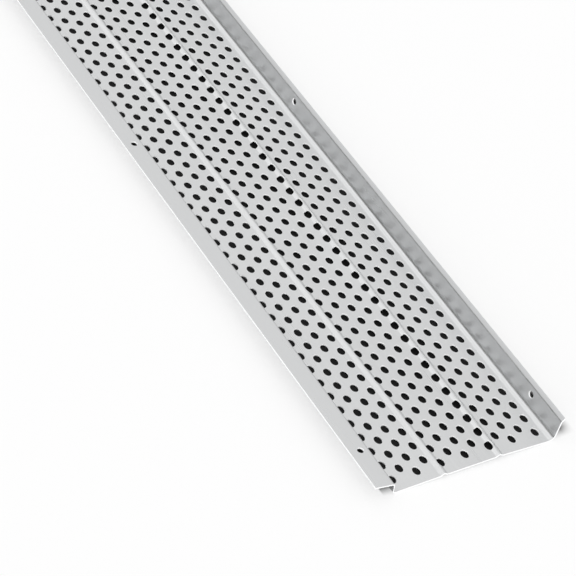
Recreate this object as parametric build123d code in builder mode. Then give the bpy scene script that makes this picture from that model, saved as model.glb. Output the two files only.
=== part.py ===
"""Perforated aluminium gutter guard: one roll-formed panel, open oval holes, two stiffening ribs.

Millimetres. X runs across the panel from the gutter's lip to the house wall, Y along its length, +Z up.
The origin is the middle of the panel's footprint, on the level that both feet of the deck stand on.
"""

import os
from math import atan2, cos, degrees, radians, sin, tan

from build123d import *

os.makedirs("parts", exist_ok=True)

# the stock
panel_length = 1219.0  # a 4 ft length
sheet_thickness = 0.8

# the perforated deck, arched a little from foot to foot, with a rib where each bay meets the next
hole_columns = 13
column_pitch = 8.1
row_pitch = 12.0
hole_width = 4.6
hole_length = 6.7
least_end_margin = 9.0  # from a cut end to the first row's hole centres
front_bay_rise = 1.7  # degrees, from the step up to the front rib
back_bay_fall = 2.6  # degrees, from the back rib down to the back flange

# the front flange, which lies on the gutter's lip, and the step down from it to the deck
front_flange_width = 13.3
front_flange_fall = 2.2  # the flange slopes down towards the deck
step_height = 7.2
step_to_first_column = 4.3
step_bend_radius = 1.6  # on the upper surface, as all the bend radii here

# the back flange, which stands against the house wall, and its lip
last_column_to_back = 6.9
back_flange_height = 13.6
back_flange_lean = 2.9
back_bend_radius = 4.0
lip_width = 3.3
lip_rise_angle = 44.0
lip_bend_radius = 1.6

# the two ribs rolled into the deck
front_rib_columns = 3.63  # from the first hole column, in column pitches
back_rib_columns = 8.26
rib_width = 4.6
rib_peak = 1.8  # before the crown is rounded
rib_crown_radius = 2.2
rib_foot_radius = 0.8

# the screw holes in both flanges
screws_per_flange = 5
screw_hole_diameter = 4.2
screw_end_margin = 30.0
front_screw_from_edge = 7.5
back_screw_height = 8.7

# derived positions across the panel, from the first hole column
hole_field_width = (hole_columns - 1) * column_pitch
deck_front = -step_to_first_column
deck_back = hole_field_width + last_column_to_back
front_edge = deck_front - front_flange_width
back_top = deck_back + back_flange_lean
lip_end = back_top + lip_width * cos(radians(lip_rise_angle))
front_rib = front_rib_columns * column_pitch
back_rib = back_rib_columns * column_pitch
front_slope = degrees(atan2(front_flange_fall, front_flange_width))
back_lean = degrees(atan2(back_flange_lean, back_flange_height))

# the widest points of the section, whose middle is the origin
lowest_x = front_edge - sheet_thickness * sin(radians(front_slope))
highest_x = lip_end + sheet_thickness * sin(radians(lip_rise_angle))
first_column_x = -(lowest_x + highest_x) / 2


def foot_sink(radius, flange_angle, bay_slope):
    """How far a foot's sharp corner lies below the level on which its rounded bend stands."""
    tangent = radius * tan(radians(flange_angle + bay_slope) / 2)
    return tangent * sin(radians(bay_slope)) - radius * (1 - cos(radians(bay_slope)))


# heights of the upper surface over the lowest part of it
front_foot = -foot_sink(step_bend_radius, 90, front_bay_rise)
back_foot = -foot_sink(back_bend_radius, 90 - back_lean, back_bay_fall)
front_rib_height = front_foot + (front_rib - deck_front) * tan(radians(front_bay_rise))
back_rib_height = back_foot + (deck_back - back_rib) * tan(radians(back_bay_fall))
front_edge_height = step_height + front_flange_fall
back_top_height = back_foot + back_flange_height
lip_end_height = back_top_height + lip_width * sin(radians(lip_rise_angle))


def deck_height(x):
    """The deck's upper surface at a place across it, leaving the ribs out."""
    if x < front_rib:
        return front_foot + (x - deck_front) * tan(radians(front_bay_rise))
    if x > back_rib:
        return back_foot + (deck_back - x) * tan(radians(back_bay_fall))
    share = (x - front_rib) / (back_rib - front_rib)
    return front_rib_height + share * (back_rib_height - front_rib_height)


def rib_corners(name, middle):
    """A rib's two feet and its crown, as corners of the outline."""
    start, end = middle - rib_width / 2, middle + rib_width / 2
    return {
        f"{name} start": (start, deck_height(start)),
        f"{name} crown": (middle, deck_height(middle) + rib_peak),
        f"{name} end": (end, deck_height(end)),
    }


# the corners of the section's upper surface, before they are rounded
outline = {
    "front edge": (front_edge, front_edge_height),
    "step top": (deck_front, step_height),
    "step foot": (deck_front, front_foot),
    **rib_corners("front rib", front_rib),
    **rib_corners("back rib", back_rib),
    "back foot": (deck_back, back_foot),
    "back top": (back_top, back_top_height),
    "lip end": (lip_end, lip_end_height),
}
corner = {
    name: (x + first_column_x, z + sheet_thickness) for name, (x, z) in outline.items()
}
bends = {
    "step top": step_bend_radius,
    "step foot": step_bend_radius,
    "front rib start": rib_foot_radius,
    "front rib crown": rib_crown_radius,
    "front rib end": rib_foot_radius,
    "back rib start": rib_foot_radius,
    "back rib crown": rib_crown_radius,
    "back rib end": rib_foot_radius,
    "back foot": back_bend_radius,
    "back top": lip_bend_radius,
}

# rows of oval holes, centred along the length; every other column stands half a pitch further on
full_rows = int((panel_length - 2 * least_end_margin) / row_pitch) + 1
screw_pitch = (panel_length - 2 * screw_end_margin) / (screws_per_flange - 1)

# columns whose holes run into a rib, and the flat strips that the others make up
strip_rim = 0.2  # flat metal kept beside the outer holes of a strip
rib_foot = rib_foot_radius * tan(atan2(rib_peak, rib_width / 2) / 2)
rib_reach = rib_width / 2 + rib_foot + hole_width / 2 + strip_rim
ribbed_columns = [
    n
    for n in range(hole_columns)
    if min(abs(n * column_pitch - front_rib), abs(n * column_pitch - back_rib))
    < rib_reach
]
strips = []
for n in range(hole_columns):
    if n in ribbed_columns:
        continue
    if strips and strips[-1][-1] == n - 1:
        strips[-1].append(n)
    else:
        strips.append([n])

# the flat planes of both flanges at their lines of screw holes, with the normal out of the upper surface
front_run = front_screw_from_edge * cos(radians(front_slope))
front_drop = front_screw_from_edge * sin(radians(front_slope))
front_screws = Plane(
    origin=(
        corner["front edge"][0] + front_run,
        0,
        corner["front edge"][1] - front_drop,
    ),
    x_dir=(0, 1, 0),
    z_dir=(sin(radians(front_slope)), 0, cos(radians(front_slope))),
)
back_screws = Plane(
    origin=(
        corner["back foot"][0] + back_screw_height * tan(radians(back_lean)),
        0,
        corner["back foot"][1] + back_screw_height,
    ),
    x_dir=(0, 1, 0),
    z_dir=(-cos(radians(back_lean)), 0, sin(radians(back_lean))),
)


def places(number):
    """The hole centres of one column; every other column has one hole less."""
    x = first_column_x + number * column_pitch
    rows = full_rows - number % 2
    return [(x, (n - (rows - 1) / 2) * row_pitch) for n in range(rows)]


def bay_plane(strip):
    """The upper surface of the bay that a strip of hole columns lies in, from the strip's middle."""
    first, last = strip[0] * column_pitch, strip[-1] * column_pitch
    slope = atan2(deck_height(last) - deck_height(first), last - first)
    middle = (first + last) / 2
    return Plane(
        origin=(first_column_x + middle, 0, sheet_thickness + deck_height(middle)),
        x_dir=(cos(slope), 0, sin(slope)),
        z_dir=(-sin(slope), 0, cos(slope)),
    )


with BuildPart() as panel:
    # the sheet: its upper surface with every bend rounded, thickened downwards
    with BuildSketch(Plane.XZ):
        with BuildLine() as upper:
            Polyline(*corner.values())
            for name, radius in bends.items():
                x, z = corner[name]
                fillet(upper.vertices().sort_by_distance((x, z, 0))[0], radius)
            offset(amount=sheet_thickness, side=Side.RIGHT)
        make_face()
    extrude(amount=panel_length / 2, both=True)

    # screw holes, square to each flange
    for flange in (front_screws, back_screws):
        with BuildSketch(flange):
            with GridLocations(screw_pitch, 1, screws_per_flange, 1):
                Circle(screw_hole_diameter / 2)
        extrude(amount=2 * sheet_thickness, both=True, mode=Mode.SUBTRACT)

    # holes that run into a rib, punched straight down through its slope
    with BuildSketch(Plane.XY):
        for number in ribbed_columns:
            with Locations(*places(number)):
                Ellipse(hole_width / 2, hole_length / 2)
    extrude(amount=step_height, both=True, mode=Mode.SUBTRACT)

    # the flat strips between the ribs, each taken out and laid back in perforated
    for strip in strips:
        bay = bay_plane(strip)
        strip_width = (
            (strip[-1] - strip[0]) * column_pitch + hole_width + 2 * strip_rim
        )
        with BuildSketch(bay):
            Rectangle(strip_width, panel_length)
        extrude(amount=-sheet_thickness, mode=Mode.SUBTRACT)
        with BuildSketch(bay):
            Rectangle(strip_width, panel_length)
            for number in strip:
                middle = (number - (strip[0] + strip[-1]) / 2) * column_pitch
                with Locations(*[(middle, y) for _, y in places(number)]):
                    Ellipse(hole_width / 2, hole_length / 2, mode=Mode.SUBTRACT)
        extrude(amount=-sheet_thickness)

panel.part.label = "guard_panel"
export_step(panel.part, "parts/guard_panel.step")
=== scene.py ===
"""Looks of the perforated aluminium gutter guard.

The guard is one roll-formed panel. It is made here as it is made in a mill: a flat blank is drawn, its oval
holes and screw holes are punched, its sheared rims are broken, and the blank is rolled to its section.
Sizes are in millimetres until the blank is rolled, and metres in the scene.
"""

import logging
import math
from dataclasses import dataclass, field
from enum import Enum

import bmesh
import bpy
from mathutils import Euler, Matrix, Vector


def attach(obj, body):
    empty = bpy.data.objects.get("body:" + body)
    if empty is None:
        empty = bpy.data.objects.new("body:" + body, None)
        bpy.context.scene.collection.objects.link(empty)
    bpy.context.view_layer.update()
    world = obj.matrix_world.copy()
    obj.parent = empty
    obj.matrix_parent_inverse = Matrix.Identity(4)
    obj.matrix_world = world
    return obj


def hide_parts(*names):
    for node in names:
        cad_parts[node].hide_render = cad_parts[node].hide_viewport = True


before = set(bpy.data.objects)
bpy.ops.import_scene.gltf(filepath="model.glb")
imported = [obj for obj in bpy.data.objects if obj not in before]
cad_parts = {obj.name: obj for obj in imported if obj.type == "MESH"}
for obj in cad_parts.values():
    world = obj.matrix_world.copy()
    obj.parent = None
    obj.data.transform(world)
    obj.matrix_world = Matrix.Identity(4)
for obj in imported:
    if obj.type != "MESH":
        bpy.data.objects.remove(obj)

LOG = logging.getLogger("gutter_guard")
MM = 0.001
TOUCH = 0.01  # millimetres within which two places on the blank are one


class Face(Enum):
    """Kinds of surface on the panel, in the order of its material slots."""

    ROLLED = 0
    SHEARED = 1


@dataclass(frozen=True)
class Finish:
    """One finish of the aluminium."""

    name: str
    colour: tuple[float, float, float]
    metallic: float
    roughness: float
    grain: float
    mottle: float
    relief: float


FINISHES = {
    Face.ROLLED: Finish(
        name="mill_aluminium",
        colour=(0.798, 0.806, 0.810),
        metallic=1.0,
        roughness=0.34,
        grain=0.04,
        mottle=0.03,
        relief=0.02,
    ),
    Face.SHEARED: Finish(
        name="sheared_aluminium",
        colour=(0.95, 0.955, 0.96),
        metallic=0.0,
        roughness=0.6,
        grain=0.06,
        mottle=0.03,
        relief=0.05,
    ),
}


def maths(tree: bpy.types.NodeTree, operation: str, *values: object) -> bpy.types.NodeSocket:
    """Joins sockets or numbers with a Math node.

    Args:
        tree: The node tree that gets the node.
        operation: What the node does.
        values: Its sockets or numbers, in order.

    Returns:
        The node's output.
    """
    node = tree.nodes.new("ShaderNodeMath")
    node.operation = operation
    for entry, value in zip(node.inputs, values):
        if isinstance(value, bpy.types.NodeSocket):
            tree.links.new(value, entry)
        else:
            entry.default_value = value
    return node.outputs[0]


def ramp(
    tree: bpy.types.NodeTree, value: bpy.types.NodeSocket, start: float, end: float
) -> bpy.types.NodeSocket:
    """Turns a value into a share that runs from nought to one.

    Args:
        tree: The node tree that gets the node.
        value: The value.
        start: Where the share is nought.
        end: Where it is one.

    Returns:
        The share.
    """
    node = tree.nodes.new("ShaderNodeMapRange")
    node.inputs["From Min"].default_value = start
    node.inputs["From Max"].default_value = end
    tree.links.new(value, node.inputs["Value"])
    return node.outputs["Result"]


def blended(
    tree: bpy.types.NodeTree,
    share: bpy.types.NodeSocket,
    first: bpy.types.NodeSocket,
    second: bpy.types.NodeSocket,
) -> bpy.types.NodeSocket:
    """Blends two shaders.

    Args:
        tree: The node tree that gets the node.
        share: Share of the second shader.
        first: The first shader.
        second: The second shader.

    Returns:
        The blend.
    """
    node = tree.nodes.new("ShaderNodeMixShader")
    for entry, value in zip(node.inputs, (share, first, second)):
        tree.links.new(value, entry)
    return node.outputs[0]


class MillMarks:
    """The marks that a rolling mill leaves, as one shader group for both finishes."""

    GRAIN_WAVES = (2400.0, 9.0, 2400.0)  # per metre along each axis
    MOTTLE_WAVES = (26.0, 9.0, 26.0)
    GRAIN_ROUGHNESS = 0.25
    MOTTLE_ROUGHNESS = 0.18
    RELIEF_DEPTH = 0.0001  # metres

    def __init__(self) -> None:
        """Builds the group once."""
        self.group = bpy.data.node_groups.new("Mill marks", "ShaderNodeTree")
        sockets = (
            ("INPUT", "NodeSocketColor", ("Colour",)),
            ("INPUT", "NodeSocketFloat", ("Roughness", "Grain", "Mottle")),
            ("OUTPUT", "NodeSocketColor", ("Colour",)),
            ("OUTPUT", "NodeSocketFloat", ("Roughness", "Height")),
        )
        for side, kind, names in sockets:
            for name in names:
                self.group.interface.new_socket(name, in_out=side, socket_type=kind)
        self._wire()

    def _noise(self, waves: tuple[float, float, float], detail: float) -> bpy.types.NodeSocket:
        """A noise texture stretched over the sheet.

        Args:
            waves: Waves per metre along each axis.
            detail: Octaves of finer noise.

        Returns:
            The noise, from nought to one.
        """
        nodes, links = self.group.nodes, self.group.links
        place = nodes.new("ShaderNodeTexCoord")
        stretch = nodes.new("ShaderNodeMapping")
        stretch.inputs["Scale"].default_value = waves
        noise = nodes.new("ShaderNodeTexNoise")
        noise.inputs["Scale"].default_value = 1.0
        noise.inputs["Detail"].default_value = detail
        links.new(place.outputs["Object"], stretch.inputs["Vector"])
        links.new(stretch.outputs["Vector"], noise.inputs["Vector"])
        return noise.outputs["Fac"]

    def _wire(self) -> None:
        """Joins grain along the roll and broad mottle to colour, roughness and height."""
        group = self.group
        given = group.nodes.new("NodeGroupInput")
        out = group.nodes.new("NodeGroupOutput")
        grain = self._noise(self.GRAIN_WAVES, detail=3.0)
        streak = maths(group, "SUBTRACT", grain, 0.5)
        cloud = maths(group, "SUBTRACT", self._noise(self.MOTTLE_WAVES, detail=2.0), 0.5)

        dark = maths(group, "MULTIPLY", streak, given.outputs["Grain"])
        pale = maths(group, "MULTIPLY", cloud, given.outputs["Mottle"])
        shade = maths(group, "ADD", maths(group, "ADD", dark, pale), 1.0)
        tint = group.nodes.new("ShaderNodeVectorMath")
        tint.operation = "SCALE"
        group.links.new(given.outputs["Colour"], tint.inputs[0])
        group.links.new(shade, tint.inputs["Scale"])

        worn = maths(group, "MULTIPLY", streak, self.GRAIN_ROUGHNESS)
        worn = maths(group, "ADD", worn, maths(group, "MULTIPLY", cloud, self.MOTTLE_ROUGHNESS))
        worn = maths(group, "ADD", worn, given.outputs["Roughness"])

        group.links.new(tint.outputs["Vector"], out.inputs["Colour"])
        group.links.new(worn, out.inputs["Roughness"])
        group.links.new(grain, out.inputs["Height"])

    def dress(self, finish: Finish) -> bpy.types.Material:
        """Makes one finish's material.

        Args:
            finish: The finish's values.

        Returns:
            The material, with its shader and the group in it.
        """
        made = bpy.data.materials.new(finish.name)
        made.use_nodes = True
        nodes, links = made.node_tree.nodes, made.node_tree.links
        shader = nodes["Principled BSDF"]
        shader.inputs["Metallic"].default_value = finish.metallic
        marks = nodes.new("ShaderNodeGroup")
        marks.node_tree = self.group
        marks.inputs["Colour"].default_value = (*finish.colour, 1.0)
        marks.inputs["Roughness"].default_value = finish.roughness
        marks.inputs["Grain"].default_value = finish.grain
        marks.inputs["Mottle"].default_value = finish.mottle
        bump = nodes.new("ShaderNodeBump")
        bump.inputs["Strength"].default_value = finish.relief
        bump.inputs["Distance"].default_value = self.RELIEF_DEPTH
        links.new(marks.outputs["Colour"], shader.inputs["Base Color"])
        links.new(marks.outputs["Roughness"], shader.inputs["Roughness"])
        links.new(marks.outputs["Height"], bump.inputs["Height"])
        links.new(bump.outputs["Normal"], shader.inputs["Normal"])
        return made


@dataclass(frozen=True)
class Bend:
    """One fold of the section, measured along the sheet's upper surface.

    A positive turn, in radians, folds the sheet upwards as it is followed away from the deck.
    """

    turn: float
    radius: float
    steps: int

    @property
    def length(self) -> float:
        """Length of the arc on the upper surface."""
        return abs(self.turn) * self.radius


@dataclass
class Section:
    """The panel's section, as a path along the upper surface of the sheet.

    The deck runs from the front foot to the back foot in three straight bays, with a rib where each meets
    the next. The parameter u is the place across the deck, and beyond either foot it is the developed
    length of the flange. Heights are taken from the lowest part of the deck's upper surface.
    """

    thickness: float = 0.8
    column_pitch: float = 8.1
    columns: int = 13
    front_bay_rise: float = 1.7
    back_bay_fall: float = 2.6
    step_to_first_column: float = 4.3
    step_height: float = 7.2
    step_radius: float = 1.6
    flange_width: float = 13.3
    flange_fall: float = 2.2
    last_column_to_back: float = 6.9
    back_height: float = 13.6
    back_lean: float = 2.9
    back_radius: float = 4.0
    lip_width: float = 3.3
    lip_angle: float = 44.0
    lip_radius: float = 1.6
    front_rib_columns: float = 3.63
    back_rib_columns: float = 8.26
    rib_width: float = 4.6
    rib_peak: float = 1.8
    rib_crown_radius: float = 2.2
    rib_foot_radius: float = 0.8

    def __post_init__(self) -> None:
        """Works out the bays, the path of both flanges and the places where the blank needs a crease."""
        rise, fall = math.radians(self.front_bay_rise), math.radians(self.back_bay_fall)
        flange = math.atan2(self.flange_fall, self.flange_width)
        wall = math.atan2(self.back_height, self.back_lean)
        lip = math.radians(self.lip_angle)
        self.deck_front = -self.step_to_first_column
        self.deck_back = (self.columns - 1) * self.column_pitch + self.last_column_to_back
        self.ribs = [n * self.column_pitch for n in (self.front_rib_columns, self.back_rib_columns)]
        self.rib_slope = math.atan2(self.rib_peak, self.rib_width / 2)
        self.rib_foot = self.rib_foot_radius * math.tan(self.rib_slope / 2)
        self.rib_crown = self.rib_crown_radius * math.sin(self.rib_slope)

        step_toe = self.step_radius * math.tan((math.pi / 2 + rise) / 2)
        step_brow = self.step_radius * math.tan((math.pi / 2 - flange) / 2)
        wall_toe = self.back_radius * math.tan((wall + fall) / 2)
        wall_brow = self.lip_radius * math.tan((wall - lip) / 2)
        front_foot = self.step_radius * (1 - math.cos(rise)) - step_toe * math.sin(rise)
        back_foot = self.back_radius * (1 - math.cos(fall)) - wall_toe * math.sin(fall)
        self.bay_places = [self.deck_front, *self.ribs, self.deck_back]
        self.bay_heights = [
            front_foot,
            front_foot + (self.ribs[0] - self.deck_front) * math.tan(rise),
            back_foot + (self.deck_back - self.ribs[1]) * math.tan(fall),
            back_foot,
        ]
        self.front = [
            Bend(math.pi / 2 + rise, self.step_radius, steps=6),
            self.step_height - front_foot - step_toe - step_brow,
            Bend(flange - math.pi / 2, self.step_radius, steps=6),
            math.hypot(self.flange_width, self.flange_fall) - step_brow,
        ]
        self.back = [
            Bend(wall + fall, self.back_radius, steps=8),
            math.hypot(self.back_height, self.back_lean) - wall_toe - wall_brow,
            Bend(lip - wall, self.lip_radius, steps=4),
            self.lip_width - wall_brow,
        ]
        self.front_start = self.deck_front + step_toe * math.cos(rise)
        self.back_start = self.deck_back - wall_toe * math.cos(fall)
        self.front_end = self.front_start - sum(map(self.run, self.front))
        self.back_corner = self.back_start + self.back[0].length - wall_toe
        low = self.deck_front - self.flange_width - self.thickness * math.sin(flange)
        lip_end = self.deck_back + self.back_lean + self.lip_width * math.cos(lip)
        high = lip_end + self.thickness * math.sin(lip)
        self.shift = -(low + high) / 2
        self.marks = self._crease_marks()

    @staticmethod
    def run(part: Bend | float) -> float:
        """Developed length of a bend or of a straight run."""
        return part.length if isinstance(part, Bend) else part

    def _crease_marks(self) -> list[float]:
        """Places across the blank where its mesh is cut, so that bends and ribs stay round.

        Returns:
            Values of u, in order.
        """
        marks = []
        for start, sign, parts in (
            (self.front_start, -1, self.front),
            (self.back_start, 1, self.back),
        ):
            u = start
            marks.append(u)
            for part in parts:
                steps = part.steps if isinstance(part, Bend) else 1
                length = self.run(part)
                marks += [u + sign * length * k / steps for k in range(1, steps + 1)]
                u += sign * length
        for middle in self.ribs:
            marks += [middle + s for s in self._rib_stations()]
        return sorted(marks)

    def _rib_stations(self) -> list[float]:
        """Places across a rib where the blank is creased.

        Returns:
            Distances from the rib's middle, in order.
        """
        half = self.rib_width / 2
        slope_end = half - self.rib_foot * math.cos(self.rib_slope)
        side = [half + self.rib_foot, half, slope_end, self.rib_crown, self.rib_crown / 2]
        return [-s for s in side] + [0.0] + side[::-1]

    def _rib_rise(self, place: float) -> float:
        """Height of a rib over its bay.

        Args:
            place: Distance from the rib's middle.

        Returns:
            The height, which is nought beyond the rib's feet.
        """
        x, half = abs(place), self.rib_width / 2
        if x >= half + self.rib_foot:
            return 0.0
        if x <= self.rib_crown:
            top = self.rib_peak - self.rib_crown_radius / math.cos(self.rib_slope)
            return top + math.sqrt(self.rib_crown_radius**2 - x * x)
        if x <= half - self.rib_foot * math.cos(self.rib_slope):
            return self.rib_peak * (1 - x / half)
        left = half + self.rib_foot - x
        return self.rib_foot_radius - math.sqrt(self.rib_foot_radius**2 - left**2)

    def deck_height(self, u: float) -> float:
        """Height of the deck's upper surface, ribs included.

        Args:
            u: Place across the deck.

        Returns:
            The height over the lowest part of that surface.
        """
        bay = sum(u > rib for rib in self.ribs)
        start, end = self.bay_places[bay : bay + 2]
        low, high = self.bay_heights[bay : bay + 2]
        height = low + (u - start) / (end - start) * (high - low)
        return height + sum(self._rib_rise(u - middle) for middle in self.ribs)

    def roll(self, u: float) -> tuple[float, float, float]:
        """Where a point of the blank's upper surface comes to lie.

        Args:
            u: Place across the blank.

        Returns:
            x and z of the point, and the sheet's angle there in radians, as followed from front to back.
        """
        if self.front_start <= u <= self.back_start:
            near = 2 * TOUCH
            climb = self.deck_height(u + near) - self.deck_height(u - near)
            return u + self.shift, self.thickness + self.deck_height(u), math.atan2(climb, 2 * near)
        if u < self.front_start:
            side, start, parts, slope = -1, self.front_start, self.front, self.front_bay_rise
        else:
            side, start, parts, slope = 1, self.back_start, self.back, self.back_bay_fall
        left = abs(u - start)
        x, z, angle = 0.0, self.deck_height(start), -math.radians(slope)
        for part in parts:
            step = min(left, self.run(part))
            chord, sweep = step, 0.0
            if isinstance(part, Bend):
                sweep = math.copysign(step / part.radius, part.turn)
                chord = 2 * part.radius * math.sin(abs(sweep) / 2)
            x += chord * math.cos(angle + sweep / 2)
            z += chord * math.sin(angle + sweep / 2)
            angle += sweep
            left -= step
        return start + side * x + self.shift, z + self.thickness, side * angle


@dataclass
class GuardPanel:
    """The whole guard: a perforated deck between a front flange and a back flange."""

    section: Section = field(default_factory=Section)
    length: float = 1219.0
    row_pitch: float = 12.0
    hole_width: float = 4.6
    hole_length: float = 6.7
    hole_sides: int = 16
    least_end_margin: float = 9.0
    rim_break: float = 0.15
    least_sliver: float = 0.16
    screws: int = 5
    screw_diameter: float = 4.2
    screw_sides: int = 24
    screw_end_margin: float = 30.0
    front_screw_from_edge: float = 7.5
    back_screw_height: float = 8.7
    rim_angle: float = 60.0
    sharp_angle: float = 32.0

    @property
    def rows(self) -> int:
        """Holes in a full column; every other column has one less."""
        return int((self.length - 2 * self.least_end_margin) / self.row_pitch) + 1

    def punched_cell(self) -> bmesh.types.BMesh:
        """The sheet round one oval hole.

        Returns:
            A flat mesh of one hole pitch by one column pitch, in two halves, with the hole at its middle.
        """
        cell = bmesh.new()
        wide, long = self.section.column_pitch / 2, self.row_pitch / 2
        ring = bmesh.ops.create_circle(cell, segments=self.hole_sides, radius=1.0)["verts"]
        bmesh.ops.scale(cell, vec=(self.hole_width / 2, self.hole_length / 2, 1), verts=cell.verts)
        left, right = (cell.verts.new((side * wide, 0, 0)) for side in (-1, 1))
        for side in (-1, 1):
            half = [v for v in ring if side * v.co.y > -TOUCH]
            half.sort(key=lambda v: v.co.x)
            far = [cell.verts.new((x, side * long, 0)) for x in (wide, -wide)]
            cell.faces.new([left, *half, right, *far][::side])
        return cell

    def deck_column(self, number: int, piece: bpy.types.Mesh) -> bmesh.types.BMesh:
        """One column of holes from end to end of the panel.

        Args:
            number: The column, from the front.
            piece: The punched cell.

        Returns:
            A flat mesh of the column.
        """
        column = bmesh.new()
        column.from_mesh(piece)
        rows = self.rows - number % 2
        first = (number * self.section.column_pitch, -(rows - 1) / 2 * self.row_pitch, 0)
        bmesh.ops.translate(column, vec=first, verts=column.verts[:])
        bmesh.ops.spin(
            column,
            geom=column.verts[:] + column.edges[:] + column.faces[:],
            cent=(0, 0, 0),
            axis=(0, 0, 1),
            dvec=(0, self.row_pitch, 0),
            angle=0,
            steps=rows - 1,
            use_duplicate=True,
        )
        bmesh.ops.remove_doubles(column, verts=column.verts[:], dist=TOUCH)
        reach = rows * self.row_pitch / 2
        stops = [self.rows * self.row_pitch / 2, self.length / 2]
        for stop in [y for y in stops if y > reach + TOUCH]:
            for side in (-1, 1):
                rim = [
                    e
                    for e in column.edges
                    if e.is_boundary and all(abs(v.co.y - side * reach) < TOUCH for v in e.verts)
                ]
                for made in bmesh.ops.extrude_edge_only(column, edges=rim)["geom"]:
                    if isinstance(made, bmesh.types.BMVert):
                        made.co.y = side * stop
            reach = stop
        return column

    def deck(self) -> bmesh.types.BMesh:
        """All columns of holes, side by side.

        Returns:
            A flat mesh, with x as the section's parameter u.
        """
        cell = self.punched_cell()
        piece = bpy.data.meshes.new("punched_cell")
        cell.to_mesh(piece)
        cell.free()
        flat = bmesh.new()
        for number in range(self.section.columns):
            column = self.deck_column(number, piece)
            strip = bpy.data.meshes.new("deck_column")
            column.to_mesh(strip)
            column.free()
            flat.from_mesh(strip)
            bpy.data.meshes.remove(strip)
        bpy.data.meshes.remove(piece)
        bmesh.ops.remove_doubles(flat, verts=flat.verts[:], dist=TOUCH)
        return flat

    def widen(self, blank: bmesh.types.BMesh, old: float, stops: list[float]) -> None:
        """Adds strips from end to end along one long side of the blank.

        Args:
            blank: The flat blank.
            old: Where its long side lies.
            stops: Where each strip's far side comes to lie, in order.
        """
        for new in stops:
            side = [v for v in blank.verts if abs(v.co.x - old) < TOUCH]
            side.sort(key=lambda v: v.co.y, reverse=new > old)
            ends = [blank.verts.new((new, v.co.y, 0)) for v in (side[-1], side[0])]
            blank.faces.new(side + ends)
            old = new

    def crease(self, blank: bmesh.types.BMesh, marks: list[float]) -> None:
        """Cuts the blank's faces along its creases.

        A crease that would pass a corner of a hole closely goes through it, so that no sliver is left.

        Args:
            blank: The flat blank.
            marks: Places of the creases across it.
        """
        corners = {round(v.co.x, 4) for v in blank.verts}
        for mark in marks:
            corner = min(corners, key=lambda x: abs(x - mark))
            place = corner if abs(corner - mark) < self.least_sliver else mark
            near = [
                f
                for f in blank.faces
                if min(v.co.x for v in f.verts) < place - 2 * TOUCH
                and max(v.co.x for v in f.verts) > place + 2 * TOUCH
            ]
            if not near:
                continue
            parts = {v for f in near for v in f.verts} | {e for f in near for e in f.edges}
            bmesh.ops.bisect_plane(
                blank,
                geom=[*parts, *near],
                dist=TOUCH / 2,
                plane_co=(place, 0, 0),
                plane_no=(1, 0, 0),
            )

    def punch_screw_holes(self, blank: bmesh.types.BMesh, u: float, places: list[float]) -> None:
        """Punches a line of round screw holes in the flat of a flange.

        Args:
            blank: The flat blank.
            u: Place of the line across the blank.
            places: Places of the holes' middles along it.
        """
        reach = self.screw_diameter / 2
        struck = [
            f
            for f in blank.faces
            if min(v.co.x for v in f.verts) < u - reach
            and max(v.co.x for v in f.verts) > u + reach
        ]
        corners = sorted({v for f in struck for v in f.verts}, key=lambda v: -v.co.y)
        bmesh.ops.delete(blank, geom=struck, context="FACES_ONLY")
        middle = [blank.verts.new((u, side * self.length / 2, 0)) for side in (-1, 1)]
        for y in places:
            middle += bmesh.ops.create_circle(
                blank,
                segments=self.screw_sides,
                radius=reach,
                matrix=Matrix.Translation((u, y, 0)),
            )["verts"]
        middle.sort(key=lambda v: v.co.y)
        for side in (-1, 1):
            near = [v for v in middle if side * (v.co.x - u) > -TOUCH]
            far = [v for v in corners if side * (v.co.x - u) > 0]
            blank.faces.new([*near, *far][:: -side])
        bmesh.ops.delete(blank, geom=[e for e in blank.edges if e.is_wire], context="EDGES")

    def blank(self) -> bmesh.types.BMesh:
        """The flat blank with all its holes and creases.

        Returns:
            A flat mesh that faces up, with x as the section's parameter u.
        """
        s = self.section
        flat = self.deck()
        front, back = -s.column_pitch / 2, (s.columns - 0.5) * s.column_pitch
        self.widen(flat, front, [m for m in s.marks if m < front - TOUCH][::-1])
        self.widen(flat, back, [m for m in s.marks if m > back + TOUCH])
        self.crease(flat, s.marks)
        up = self.back_screw_height / math.sin(math.atan2(s.back_height, s.back_lean))
        pitch = (self.length - 2 * self.screw_end_margin) / (self.screws - 1)
        places = [(n - (self.screws - 1) / 2) * pitch for n in range(self.screws)]
        for line in (s.front_end + self.front_screw_from_edge, s.back_corner + up):
            self.punch_screw_holes(flat, line, places)
        flat.normal_update()
        for f in flat.faces:
            if f.normal.z < 0:
                f.normal_flip()
        return flat

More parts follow.
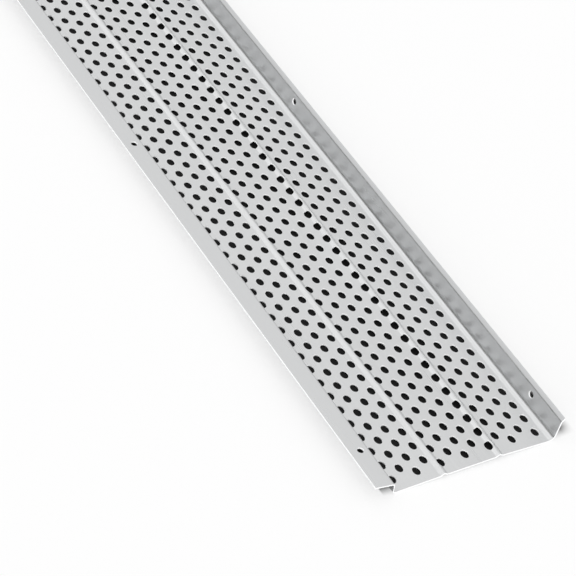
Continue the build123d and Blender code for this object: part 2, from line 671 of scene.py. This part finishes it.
    def mesh(self) -> bpy.types.Mesh:
        """The finished panel.

        Returns:
            A closed mesh in metres, in the part's own frame.
        """
        s = self.section
        body = self.blank()
        LOG.info("blank: %d faces", len(body.faces))
        bmesh.ops.solidify(body, geom=list(body.faces), thickness=s.thickness)
        rims = [
            e
            for e in body.edges
            if all(v.co.z > -TOUCH for v in e.verts)
            and e.calc_face_angle(0) > math.radians(self.rim_angle)
        ]
        bmesh.ops.bevel(
            body,
            geom=rims,
            offset=self.rim_break,
            offset_type="OFFSET",
            segments=1,
            profile=0.5,
            affect="EDGES",
            material=-1,
            clamp_overlap=False,
        )
        LOG.info("punched sheet: %d faces", len(body.faces))
        body.normal_update()
        for f in body.faces:
            f.smooth = True
            flat = abs(f.normal.z) > math.cos(math.radians(self.sharp_angle))
            f.material_index = (Face.ROLLED if flat else Face.SHEARED).value
        for v in body.verts:
            x, z, angle = s.roll(v.co.x)
            x -= v.co.z * math.sin(angle)
            z += v.co.z * math.cos(angle)
            v.co = Vector((x, v.co.y, z)) * MM
        made = bpy.data.meshes.new("guard_panel_sheet")
        body.to_mesh(made)
        body.free()
        made.set_sharp_from_angle(angle=math.radians(self.sharp_angle))
        return made

    def build(self) -> bpy.types.Object:
        """Makes the panel, dresses it in both finishes and sets it in the frame.

        Returns:
            The panel's object.
        """
        made = self.mesh()
        marks = MillMarks()
        for face in Face:
            made.materials.append(marks.dress(FINISHES[face]))
        sheet = bpy.data.objects.new("guard_panel_sheet", made)
        bpy.context.scene.collection.objects.link(sheet)
        evener = sheet.modifiers.new("even_flats", "WEIGHTED_NORMAL")
        evener.keep_sharp = True
        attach(sheet, "root")
        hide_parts("guard_panel")
        return sheet


@dataclass(frozen=True)
class Lamp:
    """A large soft lamp, far off."""

    name: str
    towards: tuple[float, float, float]
    power: float
    spread: float

    def hang(self) -> None:
        """Hangs the lamp, with its power as it falls on a surface that faces it."""
        light = bpy.data.lights.new(self.name, "SUN")
        light.energy = self.power
        light.angle = math.radians(self.spread)
        lamp = bpy.data.objects.new(self.name, light)
        lamp.rotation_mode = "QUATERNION"
        lamp.rotation_quaternion = Vector(self.towards).to_track_quat("Z", "Y")
        bpy.context.scene.collection.objects.link(lamp)


@dataclass
class Studio:
    """A pale floor, soft light from all round and the camera at the photograph's angle.

    Lengths are in metres. The sky's levels go by the angle from straight up, in degrees across the panel:
    below nought on the side of the front flange, above nought on the side of the back flange.
    """

    floor_side: float = 9.0
    floor_colour: tuple[float, float, float] = (0.96, 0.96, 0.96)
    floor_roughness: float = 0.9
    floor_gloss: float = 0.1
    floor_glow: float = 0.6
    # painted shade: a near-black patch painted on the floor under the deck and some way past its back edge
    painted_shade_colour: tuple[float, float, float] = (0.012, 0.012, 0.012)
    painted_shade_low: tuple[float, float] = (-0.0570, -0.609)
    painted_shade_high: tuple[float, float] = (0.0750, 0.609)
    painted_shade_fade_low: tuple[float, float] = (0.001, 0.007)
    painted_shade_fade_high: tuple[float, float] = (0.008, 0.007)
    # painted reflection: the level of the glow that glossy rays see in the painted shade
    painted_reflection_level: float = 0.06
    camera_place: tuple[float, float, float] = (-0.72953, -1.45988, 1.13381)
    camera_turn: tuple[float, float, float] = (47.3070, -6.3601, -28.7448)
    camera_reach: float = 50.0
    film_width: float = 36.0
    lens: float = 173.146
    sky_levels: tuple[tuple[float, float], ...] = (
        (-90, 0.02),
        (-65, 0.08),
        (-57, 0.40),
        (-50, 1.22),
        (-27, 0.94),
        (-15, 0.88),
        (0, 0.91),
        (15, 1.14),
        (30, 0.58),
        (45, 0.90),
        (60, 0.78),
        (90, 0.15),
    )
    sky_top: float = 2.0
    sky_near: float = 1.1
    sky_seam: float = 0.1
    backdrop: float = 1.0
    lamps: tuple[Lamp, ...] = (Lamp("front_lamp", (-0.8, -0.55, 0.2), power=0.8, spread=30.0),)

    def floor(self) -> None:
        """The floor, pale all over but with painted shade right under the deck."""
        plane = bmesh.new()
        bmesh.ops.create_grid(plane, x_segments=1, y_segments=1, size=self.floor_side / 2)
        made = bpy.data.meshes.new("floor")
        plane.to_mesh(made)
        plane.free()
        made.materials.append(self.floor_paint())
        floor = bpy.data.objects.new("floor", made)
        bpy.context.scene.collection.objects.link(floor)

    def floor_paint(self) -> bpy.types.Material:
        """The floor's paint.

        Returns:
            A matt material with the painted shade under the deck in it.
        """
        paint = bpy.data.materials.new("floor_paint")
        paint.use_nodes = True
        tree = paint.node_tree
        shader = tree.nodes["Principled BSDF"]
        shader.inputs["Roughness"].default_value = self.floor_roughness
        shader.inputs["Specular IOR Level"].default_value = self.floor_gloss
        shade = self.shade(tree)
        mix = tree.nodes.new("ShaderNodeMix")
        mix.data_type = "RGBA"
        mix.inputs["A"].default_value = (*self.floor_colour, 1)
        # painted shade: the near-black colour mixed into the floor under the deck
        mix.inputs["B"].default_value = (*self.painted_shade_colour, 1)
        tree.links.new(shade, mix.inputs["Factor"])
        tree.links.new(mix.outputs["Result"], shader.inputs["Base Color"])
        self.whiten(tree, shade)
        return paint

    def shade(self, tree: bpy.types.NodeTree) -> bpy.types.NodeSocket:
        """The painted shade under the deck, as a soft-edged dark patch painted on the floor.

        Args:
            tree: The floor paint's nodes.

        Returns:
            One inside the patch and nought on the open floor.
        """
        place = tree.nodes.new("ShaderNodeTexCoord")
        split = tree.nodes.new("ShaderNodeSeparateXYZ")
        tree.links.new(place.outputs["Object"], split.inputs[0])
        # painted shade: a soft-edged box on the floor, dark inside
        inside = 1.0
        for k, axis in enumerate("XY"):
            low, high = self.painted_shade_low[k], self.painted_shade_high[k]
            for edge, core in (
                (low, low + self.painted_shade_fade_low[k]),
                (high, high - self.painted_shade_fade_high[k]),
            ):
                inside = maths(tree, "MULTIPLY", inside, ramp(tree, split.outputs[axis], edge, core))
        return inside

    def whiten(self, tree: bpy.types.NodeTree, shade: bpy.types.NodeSocket) -> None:
        """Lets the camera see the open floor as near white, with part of its shadows.

        Glossy rays see the painted shade under the deck as a glowing dark grey, a painted reflection, so
        that the holes leave few blotches in the panel's flats.

        Args:
            tree: The floor paint's nodes.
            shade: One in the painted shade under the deck, nought on the open floor.
        """
        paint = tree.nodes["Principled BSDF"].outputs[0]
        path = tree.nodes.new("ShaderNodeLightPath")
        white = tree.nodes.new("ShaderNodeEmission")
        # painted reflection: a dark grey glow seen only by glossy rays
        grey = tree.nodes.new("ShaderNodeEmission")
        grey.inputs["Strength"].default_value = self.painted_reflection_level
        # the white glow leaves out the painted shade, so the camera sees it dark
        seen = maths(tree, "MULTIPLY", path.outputs["Is Camera Ray"], maths(tree, "SUBTRACT", 1.0, shade))
        share = maths(tree, "MULTIPLY", seen, self.floor_glow)
        # painted reflection: glossy rays see the dark grey glow in the painted shade
        painted_reflection_share = maths(tree, "MULTIPLY", path.outputs["Is Glossy Ray"], shade)
        lit = blended(tree, share, paint, white.outputs[0])
        calm = blended(tree, painted_reflection_share, lit, grey.outputs[0])
        tree.links.new(calm, tree.nodes["Material Output"].inputs["Surface"])

    def sky(self) -> None:
        """Soft light all round, whose level changes only with the angle across the panel.

        A level that keeps along the panel gives each flat of the section one even tone from end to end.
        The half of the sky behind the camera has one level, and the camera itself sees a plain backdrop.
        """
        world = bpy.data.worlds.new("studio")
        bpy.context.scene.world = world
        world.use_nodes = True
        tree = world.node_tree
        place = tree.nodes.new("ShaderNodeTexCoord")
        split = tree.nodes.new("ShaderNodeSeparateXYZ")
        tree.links.new(place.outputs["Generated"], split.inputs[0])
        angle = maths(tree, "ARCTAN2", split.outputs["X"], split.outputs["Z"])
        arch = maths(tree, "MULTIPLY", self.arch(tree, angle), self.sky_top)
        ahead = ramp(tree, split.outputs["Y"], -self.sky_seam, self.sky_seam)
        path = tree.nodes.new("ShaderNodeLightPath")
        level = self.sky_near
        for share, other in ((ahead, arch), (path.outputs["Is Camera Ray"], self.backdrop)):
            mix = tree.nodes.new("ShaderNodeMix")
            mix.data_type = "FLOAT"
            tree.links.new(share, mix.inputs["Factor"])
            for name, value in (("A", level), ("B", other)):
                if isinstance(value, bpy.types.NodeSocket):
                    tree.links.new(value, mix.inputs[name])
                else:
                    mix.inputs[name].default_value = value
            level = mix.outputs["Result"]
        tree.links.new(level, tree.nodes["Background"].inputs["Color"])

    def arch(self, tree: bpy.types.NodeTree, angle: bpy.types.NodeSocket) -> bpy.types.NodeSocket:
        """The sky's level over the angle across the panel.

        Args:
            tree: The world's nodes.
            angle: The angle from straight up, in radians.

        Returns:
            The level, as a share of the highest one.
        """
        node = tree.nodes.new("ShaderNodeFloatCurve")
        curve = node.mapping.curves[0]
        while len(curve.points) < len(self.sky_levels):
            curve.points.new(0.5, 0.5)
        for point, (degrees, level) in zip(curve.points, self.sky_levels):
            point.location = ((degrees + 90) / 180, level / self.sky_top)
            point.handle_type = "VECTOR"
        node.mapping.update()
        tree.links.new(ramp(tree, angle, -math.pi / 2, math.pi / 2), node.inputs["Value"])
        return node.outputs["Value"]

    def camera(self) -> None:
        """The camera at the photograph's viewing angle."""
        data = bpy.data.cameras.new("photo_camera")
        data.lens = self.lens
        data.sensor_width = self.film_width
        data.clip_end = self.camera_reach
        camera = bpy.data.objects.new("photo_camera", data)
        camera.location = self.camera_place
        camera.rotation_euler = Euler([math.radians(a) for a in self.camera_turn])
        bpy.context.scene.collection.objects.link(camera)
        bpy.context.scene.camera = camera

    def build(self) -> None:
        """Sets the whole studio up."""
        bpy.context.scene.view_settings.view_transform = "Standard"
        self.floor()
        self.sky()
        for lamp in self.lamps:
            lamp.hang()
        self.camera()


def main() -> None:
    """Builds the studio and the panel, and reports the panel."""
    logging.basicConfig(level=logging.INFO, format="%(name)s: %(message)s")
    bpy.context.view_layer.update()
    Studio().build()
    panel = GuardPanel().build()
    panel.data.calc_loop_triangles()
    LOG.info("%s: %d triangles", panel.name, len(panel.data.loop_triangles))


if __name__ == "__main__":
    main()
